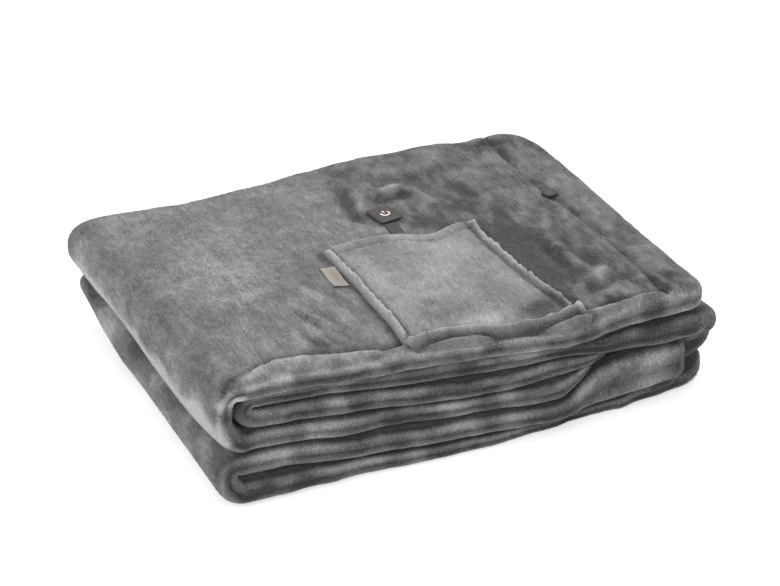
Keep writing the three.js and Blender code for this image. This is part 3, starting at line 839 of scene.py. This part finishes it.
# Ridges and grooves: what they are measured from, how far, how wide, how high, and what
# roughens or fades them.
POCKET_RIDGES = [
    ("side", 3, 2.3, 4.4, "roll"), ("side", 9, 2.5, -0.9, "rolled"),
    ("top", 3, 3.5, 0.7, "even"), ("top", 9, 3, 0.4, "even"), ("top", 13, 1.5, -1.1, "stitched"),
    ("ahead", 6, 3.8, 3.6, "gathers"), ("ahead", 13, 1.9, -2.2, "even"),
    ("ahead", 18, 3, 1.8, "slack"), ("ahead", -1.5, 1.8, -1.4, "even"),
]
# The same for painted light: how much lighter the pile is painted as a highlight on each ridge and
# roll, or darker as shade in the grooves and beside the ropes.
POCKET_RIDGE_LIGHT = [
    ("top", 1, 2.2, 0.3, "even"), ("top", 13, 1.6, -0.1, "even"),
    ("side", 2.5, 2.2, 0.55, "knobs"), ("side", 8, 2, -0.42, "away"),
    ("ahead", 6, 3.2, 0.34, "gathers"), ("ahead", 13, 1.9, -0.4, "even"),
    ("ahead", 0, 2.2, -0.2, "even"),
]
POCKET_SWELLS = table("x y along across turn rise", [
    [52, -165, 20, 16, -20, -1.4], [-20, -60, 30, 20, 20, 0.8], [84, -195, 8, 6, 0, 2.2],
    [20, -120, 26, 18, -15, -0.7], [-50, -140, 14, 24, 0, 0.8],
])
# Lighter or darker places on the pocket. The dark ones at its lower right are painted shade in the
# hollow there, and the small light one at (84, -194) is a painted highlight on the swell at the
# rope's end.
POCKET_NAP = table("x y along across turn amount", [
    [58, -176, 26, 12, 14, -0.85], [78, -140, 7, 28, 14, -0.45], [6, -178, 34, 11, 0, 0.24],
    [84, -194, 7, 6, 0, 0.4], [60, -90, 10, 40, 0, -0.06], [0, -120, 40, 24, -15, 0.1],
    [-52, -100, 10, 50, 0, 0.06], [30, -40, 26, 8, 0, -0.05],
])
POCKET_NAP_LEVEL = 0.555


def open_edge(x):
    side = np.minimum(x - POCKET.left[1], POCKET.right[1] - x)
    corner = 1 - ease(0, POCKET_CORNER.reach, side)
    return POCKET.y + ridge(x, *POCKET_SAG) - POCKET_CORNER.draw * corner


def pocket_grid():
    """X, Y and the distances to the left, right, open and bottom edges, in mm."""
    u, v = (np.linspace(0, 1, count) for count in POCKET_GRID)
    u = mix(u, (1 - np.cos(math.pi * u)) / 2, 0.35)[:, None]
    v = mix(v**1.35, (1 - np.cos(math.pi * v)) / 2, 0.25)[None, :]
    up = POCKET.length * v
    left = mix(*POCKET.left, v) + SIDE_WAVE * flat_noise(0, up, (1, 26), 81)
    right = mix(*POCKET.right[::-1], (1 - v) ** 3)
    right = right + SIDE_WAVE * flat_noise(0, up, (1, 24), 82)
    corner = sum(radius * (1 - rounded(distance / radius)) for radius, distance in (
        (POCKET_ROUND.low, up), (POCKET_ROUND.open, POCKET.length - up)))
    x = mix(left + 0.5 * corner, right - corner, u)
    front, _ = edges_of(1, x)
    bottom = front + POCKET_LOW * rim_of(1, x, front)
    y = mix(bottom, open_edge(x), v)
    return x, y, (x - left, right - x, open_edge(x) - y, y - bottom)


def hand_pocket():
    x, y, (left, right, top, bottom) = pocket_grid()
    side = np.minimum(left, right)
    ahead = along(FRONT_SEAM, "y", x) - y
    edge = np.minimum(side, np.minimum(top, bottom * 1.4))
    knobs = 1 + rough(x, y, (0.85, (4, 3.6), 83), (0.25, (6, 8), 84))
    gathers = 1 + 0.55 * flat_noise(x, y, (8, 14), 86)
    away = ease(0, 24, bottom)
    rolled = away * (0.25 + 0.75 * ease(0, 9, top))
    fields = {
        "side": side, "top": top, "ahead": ahead, "even": 1, "away": away, "rolled": rolled,
        "knobs": knobs * away, "roll": knobs * rolled, "gathers": gathers, "slack": 2 - gathers,
        "stitched": 1 + 0.4 * flat_noise(x, y, (5, 20), 85),
    }

    def ridges(rows):
        return sum(ridge(fields[start], *shape) * fields[fade] for start, *shape, fade in rows)

    puff = 2.2 * ease(10, 60, side) * ease(16, 60, top) * ease(16, 60, bottom)
    soft = rough(x, y, (0.9, 34, 87), (0.35, 14, 88))
    soft = (soft + patches(POCKET_SWELLS, x, y)) * ease(0, 12, edge)
    thick = np.maximum(POCKET.thick + ridges(POCKET_RIDGES) + puff + soft, POCKET.thinnest)
    base = top_height(x, y) + POCKET.gap
    base = base - (seams(x, y) + creases(x, y)) * ease(12, 30, bottom)
    lower = xyz(x, y, base)
    upper = xyz(x, y, base + thick * rounded(edge / POCKET_EDGE))
    clouds = 0.14 * crushed(flat_noise(x, y, 30, 92))
    clouds = clouds + rough(x, y, (0.1, 10, 93), (0.05, (3, 22), 91))
    # With painted highlights on the ridges and painted shade in the grooves.
    nap = POCKET_NAP_LEVEL + clouds + patches(POCKET_NAP, x, y) + ridges(POCKET_RIDGE_LIGHT)
    nap = nap - 0.25 * ease(0, 10, ahead) * (1 - 0.5 * ease(8, 16, ahead))
    plush = plush_material("pocket_plush", *POCKET_PLUSH)
    piece = closed_sheet("pocket_plush", upper, lower, plush, nap, nap)
    belongs(piece, "hand_pocket")
    return piece


# ---- the trims that lie on the top ----
PAD = Values(x=5, y=23, width=23, length=29, turn=7, corner=3)
# The pad's section: how far each ring of points lies in from its outline, and its height.
PAD_SECTION = [
    (0.7, 0), (0.15, 0.35), (0, 0.9), (0.05, 1.5), (0.35, 1.95), (0.9, 2.2), (1.5, 2.25),
    (1.75, 2.05), (2, 2.05), (2.25, 2.25), (3, 2.35), (5, 2.45), (7.5, 2.5),
]
SYMBOL = Values(x=1, y=-0.6, radius=3.9, stroke=1.05, gap=34, bar=(1.2, 5.4), rise=0.5)
GLOW = Values(
    radius=6.4, thick=0.5, proud=0.06, spread=1.7, around=0.85,
    rings=(1, 1, 0.94, 0.86, 0.78, 0.68, 0.58, 0.45, 0.3, 0.12),
)
TAB = Values(x=2.8, y=-6, width=12.5, length=28, thick=1.5, turn=-8, edge=1)
LABEL = Values(x=-83, y=-66, width=14, length=38, thick=0.9, turn=-5, edge=0.5)
LABEL_GOLD = Values(across=0.12, along=0.05, wide=0.62, long=0.75)
TRIM_CLEAR = 0.4
# The snap cap's section, as shares of its radius and its height.
SNAP_SECTION = [
    (0.8, 0), (0.97, 0.1), (1, 0.28), (0.97, 0.5), (0.88, 0.72), (0.76, 0.86), (0.66, 0.93),
    (0.6, 0.9), (0.55, 0.84), (0.48, 0.84), (0.42, 0.9), (0.32, 0.96), (0.16, 1),
]


def turned(trim, a, b):
    """Layout X and Y of a place (a, b) in a trim's own directions."""
    c, s = math.cos(math.radians(trim.turn)), math.sin(math.radians(trim.turn))
    return trim.x + a * c - b * s, trim.y + a * s + b * c


def stacked(name, rings, material, nap=None):
    """A closed body through rings of points, lowest first, capped at both ends."""
    count = len(rings[0])
    points = np.concatenate(rings)
    faces = [tuple(range(count))[::-1], tuple(range(len(points) - count, len(points)))]
    for low in range(0, len(points) - count, count):
        for k in range(count):
            after = (k + 1) % count
            faces.append((low + k, low + after, low + count + after, low + count + k))
    return mesh_object(name, to_frame(points), faces, material, nap)


def pad_ring(inset, z):
    """A ring round the pad, counterclockwise, drawn in from its outline by inset."""
    radius = max(PAD.corner - inset, 0.4)
    turn = np.linspace(0, math.pi / 2, 10) + circle(4)[:, None]
    side = np.array([[1], [-1], [-1], [1]]) * (PAD.width / 2 - inset - radius)
    end = np.array([[1], [1], [-1], [-1]]) * (PAD.length / 2 - inset - radius)
    x, y = side + radius * np.cos(turn), end + radius * np.sin(turn)
    return xyz(*turned(PAD, x.ravel(), y.ravel()), z)


def bar_rings(centre, path, across, base):
    """Rings of a rounded bar on base, along a path (n, 2) round centre."""
    share = np.linspace(-1, 1, len(path))
    ends = np.clip((1 - np.abs(share)) * 4, 0.12, 1) ** 0.5
    rings = []
    for (px, py), (nx, ny), size in zip(path, across, ends):
        side = SYMBOL.stroke / 2 * size * np.cos(circle(12))
        up = base + SYMBOL.rise * size * np.sin(circle(12))
        rings.append(xyz(*turned(centre, px + side * nx, py + side * ny), up))
    return rings


def control_pad():
    low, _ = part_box("control_pad")
    seat = low.z * 1000
    rings = [pad_ring(inset, seat + height) for inset, height in PAD_SECTION]
    rubber = plain_material(
        "touch_pad", RUBBER, 0.0007, 0.0002, Roughness=0.48, Specular_IOR_Level=0.4)
    belongs(stacked("control_pad_body", rings, rubber), "control_pad")

    top = seat + PAD_SECTION[-1][1]
    x, y = turned(PAD, SYMBOL.x, SYMBOL.y)
    centre = Values(x=x, y=y, turn=PAD.turn)
    turn = circle(48)
    radii = GLOW.radius * np.array(GLOW.rings)
    heights = top + GLOW.proud - GLOW.thick * (np.arange(len(radii)) == 0)
    rings = [xyz(*turned(centre, radius * np.cos(turn), radius * np.sin(turn)), height)
             for radius, height in zip(radii, heights)]
    glow = bump(radii - GLOW.around * SYMBOL.radius, GLOW.spread)
    disc = stacked("control_glow", rings, glow_material(), np.repeat(glow, len(turn)))
    belongs(disc)

    ring_turn = np.radians(np.linspace(90 + SYMBOL.gap, 450 - SYMBOL.gap, 60))
    outward = np.stack([np.cos(ring_turn), np.sin(ring_turn)], -1)
    bar = np.stack([np.zeros(12), np.linspace(*SYMBOL.bar, 12)], -1)
    sideways = np.tile([1, 0], (12, 1))
    milky = plain_material(
        "touch_symbol", (0.8, 0.68, 0.66), 0.0006, 0.0001, Roughness=0.35,
        Emission_Color=(1, 0.72, 0.7, 1), Emission_Strength=0.6)
    for name, path, across in (
            ("control_ring", outward * SYMBOL.radius, outward), ("control_bar", bar, sideways)):
        belongs(stacked(name, bar_rings(centre, path, across, top), milky))


def laid_strip(name, trim, material, grid, shape, nap=None):
    """A thin rounded strip that follows the top. shape(a, b) lifts it, in mm, at -1 to 1 places."""
    a = np.linspace(-1, 1, grid[0])[:, None]
    b = np.linspace(-1, 1, grid[1])[None, :]
    x, y = turned(trim, a * trim.width / 2, b * trim.length / 2)
    edge = np.minimum((1 - np.abs(a)) * trim.width / 2, (1 - np.abs(b)) * trim.length / 2)
    base = top_height(x, y) + TRIM_CLEAR + shape(a, b)
    lower = xyz(x, y, base)
    upper = xyz(x, y, base + trim.thick * rounded(edge / trim.edge))
    values = (nap(a, b) if nap else 0) + 0 * x
    return closed_sheet(name, upper, lower, material, values, values)


def control_tab():
    def crown(a, b):
        return 0.35 * (1 - a * a)

    webbing = woven_material(
        "webbing", (0.012, 0.012, 0.011), (0.038, 0.037, 0.034), 0.0011, TAB.turn, 0.0004,
        Roughness=0.8, Sheen_Weight=0.1)
    tab = laid_strip("control_webbing", TAB, webbing, (34, 78), crown)
    belongs(tab, "control_tab")


def side_label():
    def gold(a, b):
        wide = bump(a - LABEL_GOLD.across, LABEL_GOLD.wide)
        return wide * bump(b - LABEL_GOLD.along, LABEL_GOLD.long) ** 0.7

    def curl(a, b):
        return 0.5 * b * b + 0.7 * ease(0.3, -1, a) * (0.4 + 0.6 * np.abs(b))

    ribbon = woven_material(
        "ribbon", (0.165, 0.158, 0.152), (0.225, 0.217, 0.21), 0.0007, LABEL.turn, 0.0001,
        tint=(0.15, 0.11, 0.05), Roughness=0.42, Sheen_Weight=0.3, Specular_IOR_Level=0.5)
    label = laid_strip("label_ribbon", LABEL, ribbon, (40, 90), curl, gold)
    belongs(label, "side_label")


def snap_cap():
    base, height = cap_low.z * 1000, (cap_high.z - cap_low.z) * 1000
    turn = circle(72)
    rings = [xyz(SNAP.x + SNAP.radius * out * np.cos(turn),
                 SNAP.y + SNAP.radius * out * np.sin(turn), base + height * up)
             for out, up in SNAP_SECTION]
    enamel = plain_material(
        "snap_enamel", (0.026, 0.025, 0.018), 0.0012, 0.0002,
        Roughness=0.5, Specular_IOR_Level=0.4)
    belongs(stacked("snap_button", rings, enamel), "snap_cap")


# ---- the pile: short locks over every plush surface that shows ----
PILE = Values(
    length=(1.1, 1.9), half_width=0.44, widths=(0.7, 1.2), lean=(42, 66), sunk=0.3, clear=9,
    clear_from=0.3, flow=(0.12, -0.85, -0.5), swirl=0.4, swirl_size=26, stray=0.26, tones=7,
    spread=0.14, lift=1.35, piece=46000, shade_lean=0.3, shade_stray=0.12,
)
PILE_LOCKS = {"blanket_plush": 162000, "pocket_plush": 15500}
BACK = Values(start=0.6, share=0.55)  # fewer locks on faces whose normal's Y is past start
UNDERSIDE = -0.75  # the normal's Z below which a face gets no locks
LOCK_NOISE = ((0.13, (15, 8, 2.6), 121), (0.11, (3.2, 12, 12), 122))  # strength, size, seed
RIBS = Values(pitch=4.4, bend=0.5, size=14, strength=0.2)
SMALLEST_FACE = 1e-10  # in square metres


def tone_materials(name, dark, middle, light):
    """The pile's tones from dark to light, each rough by nodes."""
    tones = []
    for k in range(PILE.tones):
        share = 2 * k / (PILE.tones - 1)
        value = PILE.lift * np.interp(share, (0, 1, 2), (dark, middle, light))
        look = Look(
            f"{name}_{k + 1}", Base_Color=(value, value, value, 1), Specular_IOR_Level=0.15,
            Sheen_Weight=0.25, Sheen_Roughness=0.5)
        rough = look.node(
            "ShaderNodeMapRange", To_Min=0.75, To_Max=1, Value=look.noise(700, 2))
        look.feed(look.shader, (), {"Roughness": rough.outputs["Result"]})
        tones.append(look.material)
    return tones


def quads_of(piece):
    """A piece's points and nap, and its quads' corners, in metres."""
    mesh = piece.data
    points = np.empty(len(mesh.vertices) * 3)
    mesh.vertices.foreach_get("co", points)
    nap = np.empty(len(mesh.vertices), np.float32)
    mesh.attributes["nap"].data.foreach_get("value", nap)
    corners = np.empty(len(mesh.loops), np.int32)
    mesh.loops.foreach_get("vertex_index", corners)
    return points.reshape(-1, 3), nap, corners.reshape(-1, 4)


def shows(centres, normals, tree):
    """Which faces nothing covers."""
    reach, start = PILE.clear / 1000, PILE.clear_from / 1000
    return np.array([
        normal[2] > UNDERSIDE
        and tree.ray_cast(Vector(centre + start * normal), Vector(normal), reach)[0] is None
        for centre, normal in zip(centres, normals)])


def unit(vectors):
    return vectors / (np.linalg.norm(vectors, axis=1, keepdims=True) + 1e-9)


def pile(piece, tree, node_slot, tones):
    """Locks over one plush piece: closed slivers, rooted in it, in pieces of a modest size."""
    rng = np.random.default_rng(11)
    points, nap, quads = quads_of(piece)
    a, b, c, d = (points[quads[:, k]] for k in range(4))
    across = np.cross(c - a, d - b)
    area = np.linalg.norm(across, axis=1) / 2
    keep = area > SMALLEST_FACE
    normals = np.zeros_like(across)
    normals[keep] = across[keep] / (2 * area[keep, None])
    keep[keep] = shows(((a + b + c + d) / 4)[keep], normals[keep], tree)
    weight = area * keep * np.where(normals[:, 1] > BACK.start, BACK.share, 1)
    count = PILE_LOCKS[piece.name]
    chosen = np.sort(rng.choice(len(quads), count, p=weight / weight.sum()))
    u, v = rng.random((2, count, 1))
    weights = [(1 - u) * (1 - v), u * (1 - v), u * v, (1 - u) * v]
    root = sum(w * corner[chosen] for w, corner in zip(weights, (a, b, c, d)))
    # The nap there, painted highlight and shade included, sets each lock's tone.
    level = sum(w[:, 0] * nap[quads[chosen, k]] for k, w in enumerate(weights))
    normal = normals[chosen]
    place = root * 1000
    swirl = np.stack([noise(place, PILE.swirl_size, 101 + k) for k in range(3)], -1)
    flow = np.array(PILE.flow) + PILE.swirl * swirl
    flow += PILE.stray * rng.standard_normal((count, 3))
    flow = unit(flow - normal * np.sum(flow * normal, axis=1, keepdims=True))
    side = np.cross(normal, flow)
    lean = np.radians(rng.uniform(*PILE.lean, (count, 1)))
    axis = flow * np.sin(lean) + normal * np.cos(lean)
    length = rng.uniform(*PILE.length, (count, 1)) / 1000
    width = PILE.half_width / 1000 * rng.uniform(*PILE.widths, (count, 1))
    base = root - normal * PILE.sunk / 1000
    turn = rng.uniform(0, 2 * math.pi, (count, 1))
    feet = [base + width * (flow * np.cos(turn + k) + side * np.sin(turn + k)) for k in circle(3)]
    corners = np.stack([*feet, base + axis * length], 1)
    corners[..., 2] = np.maximum(corners[..., 2], 0)  # none dips into the floor
    for strength, size, seed in LOCK_NOISE:
        level = level + strength * noise(place, size, seed)
    rib = place[:, 0] / RIBS.pitch + RIBS.bend * noise(place, RIBS.size, 123)
    level = level + RIBS.strength * ease(40, 130, place[:, 0]) * np.sin(2 * math.pi * rib)
    tone = np.clip(level + PILE.spread * rng.standard_normal(count), 0, 1)
    tone = np.minimum((tone * PILE.tones).astype(int), PILE.tones - 1)
    shading = normal + PILE.shade_lean * axis
    shading = unit(shading + PILE.shade_stray * rng.standard_normal((count, 3)))
    sliver = np.array([[0, 2, 1], [0, 1, 3], [1, 2, 3], [2, 0, 3]])
    parts = math.ceil(count / PILE.piece)
    for k, some in enumerate(np.array_split(np.argsort(root[:, 0], kind="stable"), parts)):
        faces = (sliver[None] + 4 * np.arange(len(some))[:, None, None]).reshape(-1, 3)
        mesh = bpy.data.meshes.new(f"{node_slot}_pile_{k + 1}")
        mesh.from_pydata(corners[some].reshape(-1, 3), [], faces)
        for material in tones:
            mesh.materials.append(material)
        mesh.polygons.foreach_set("material_index", np.repeat(tone[some], 4).astype(np.int32))
        mesh.shade_smooth()
        mesh.normals_split_custom_set_from_vertices(np.repeat(shading[some], 4, axis=0))
        belongs(placed(mesh.name, mesh))


def all_pile(plush_pieces):
    """plush_pieces: (piece, slot, tones). Every piece of the part shades the pile under it."""
    bpy.context.view_layer.update()
    points, faces = [], []
    for piece in bpy.context.scene.objects:
        if piece.type != "MESH" or piece.name == "floor" or piece.hide_render:
            continue
        start = len(points)
        points += [piece.matrix_world @ vertex.co for vertex in piece.data.vertices]
        faces += [[start + i for i in polygon.vertices] for polygon in piece.data.polygons]
    tree = BVHTree.FromPolygons(points, faces)
    for piece, slot, tones in plush_pieces:
        pile(piece, tree, slot, tones)


# ---- floor, light and camera ----
FLOOR = Values(reach=9, grey=0.62, glow=0.54)
SKY = 0.95
CAMERA = Values(
    focal_px=2500, distance=2.25, elevation=30, yaw=25, target=(0, 0, 45), frame_width_px=780,
    sensor=36,
)


def aimed(name, data, place, forward):
    """A lamp or a camera at that place, looking forward."""
    thing = placed(name, data)
    thing.location = place
    thing.rotation_euler = Vector(forward).to_track_quat("-Z", "Y").to_euler()
    return thing


def emitter(name, place, target, size, power):
    data = bpy.data.lights.new(name, "AREA")
    data.size = size
    data.energy = power
    aimed(name, data, place, Vector(target) - Vector(place))


def studio():
    floor = bpy.data.meshes.new("floor")
    corners = [(FLOOR.reach * x, FLOOR.reach * y, 0)
               for x, y in ((-1, -1), (1, -1), (1, 1), (-1, 1))]
    floor.from_pydata(corners, [], [(0, 1, 2, 3)])
    look = Look("floor", Base_Color=(*[FLOOR.grey] * 3, 1), Roughness=0.9,
                Emission_Color=(1, 1, 1, 1), Emission_Strength=FLOOR.glow)
    floor.materials.append(look.material)
    placed("floor", floor)
    world = bpy.data.worlds.new("studio")
    bpy.context.scene.world = world
    world.use_nodes = True
    sky = world.node_tree.nodes["Background"].inputs
    sky["Color"].default_value = (1, 1, 1, 1)
    sky["Strength"].default_value = SKY
    emitter("key", (0.5, 0.6, 2.3), (0, 0, 0), 1.8, 50)
    emitter("fill", (-1.7, -1.1, 1.3), (0, 0, 0.05), 1.4, 16)
    bpy.context.scene.view_settings.view_transform = "Standard"


def camera():
    up, turn = math.radians(CAMERA.elevation), math.radians(CAMERA.yaw)
    forward = Vector((math.sin(turn) * math.cos(up), math.cos(turn) * math.cos(up), -math.sin(up)))
    target = (Vector(CAMERA.target) + SHIFT) / 1000
    data = bpy.data.cameras.new("camera")
    data.sensor_width = CAMERA.sensor
    data.lens = CAMERA.focal_px / CAMERA.frame_width_px * CAMERA.sensor
    view = aimed("camera", data, target - forward * CAMERA.distance, forward)
    bpy.context.scene.camera = view


camera()
studio()
sheet = blanket()
pocket = hand_pocket()
control_pad()
control_tab()
side_label()
snap_cap()
all_pile([(sheet, "plush", tone_materials("pile", *PLUSH)),
          (pocket, "pocket_plush", tone_materials("pocket_pile", *POCKET_PLUSH))])
